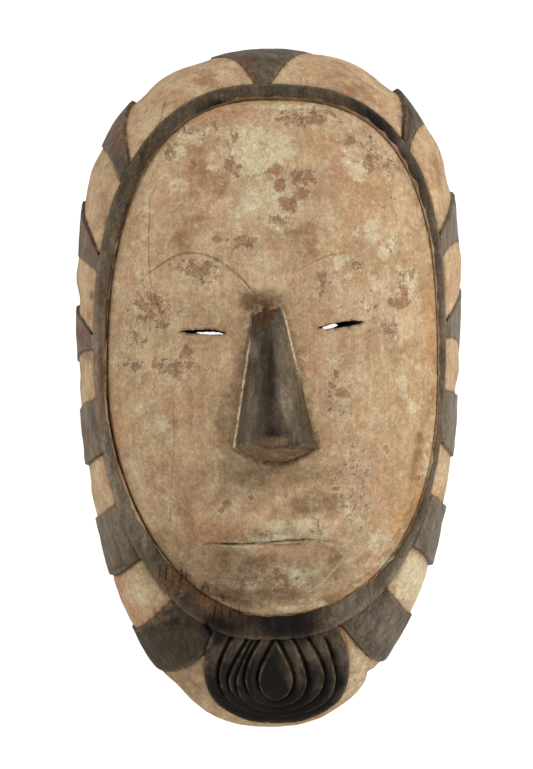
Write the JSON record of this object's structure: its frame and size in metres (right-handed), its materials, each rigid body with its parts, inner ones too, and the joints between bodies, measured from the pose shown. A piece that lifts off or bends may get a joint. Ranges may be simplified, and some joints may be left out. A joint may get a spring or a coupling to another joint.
{
  "type": "carved face mask",
  "caption": "Hollow carved wooden face mask with a raised ridge around a domed face, wedge nose, slit eyes, dark blocks on its side band and a grooved beard tab.",
  "frame": {"origin": "middle of the back rim's outline, in the plane that the flat back rim lies in", "axes": "+Z the way the face looks, +Y from the chin to the crown, +X to the viewer's right when the face is seen from the front"},
  "size_m": [0.215, 0.3775, 0.115],
  "materials": {
    "painted_wood": "worn pale clay paint with dark brown black blocks, ridge, nose and beard, bare wood inside"
  },
  "bodies": {
    "root": {"mask": "painted_wood"}
  },
  "joints": []
}
